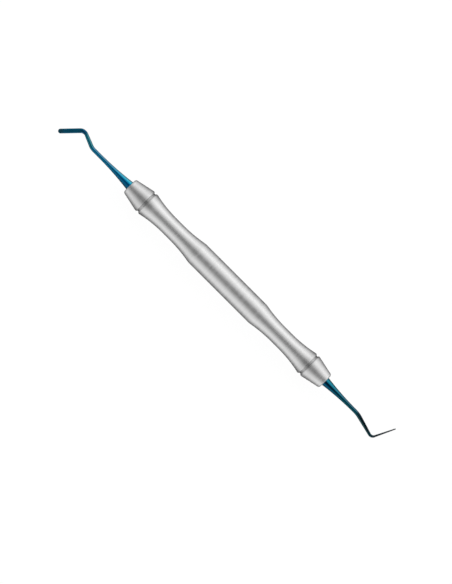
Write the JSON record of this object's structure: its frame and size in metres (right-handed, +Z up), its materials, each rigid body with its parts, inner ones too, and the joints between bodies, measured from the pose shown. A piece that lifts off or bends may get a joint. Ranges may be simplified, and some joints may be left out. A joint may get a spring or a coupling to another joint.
{
  "type": "dental filling spatula",
  "caption": "Double-ended dental hand instrument: hollow contoured steel handle, nose cones, and blue-coated bent shanks ending in flat round-tipped blades.",
  "frame": {"origin": "centre of the straight barrel, on the handle's axis", "axes": "+X along the handle to the hoe end, whose blade is turned across the bends; both ends bend in the XY plane, the hoe blade towards +Y; +Z up when the instrument lies on its collars"},
  "size_m": [0.176, 0.0117, 0.0104],
  "materials": {
    "satin_steel": "satin",
    "turned_steel": "satin",
    "blue_coated_steel": "polished",
    "seal_rubber": "matte"
  },
  "bodies": {
    "root": {"handle_tube": "satin_steel", "hatchet_nose_cone": "turned_steel", "hoe_nose_cone": "turned_steel", "hatchet_seal_ring": "seal_rubber", "hoe_seal_ring": "seal_rubber", "hatchet_working_end": "blue_coated_steel", "hoe_working_end": "blue_coated_steel"}
  },
  "joints": []
}
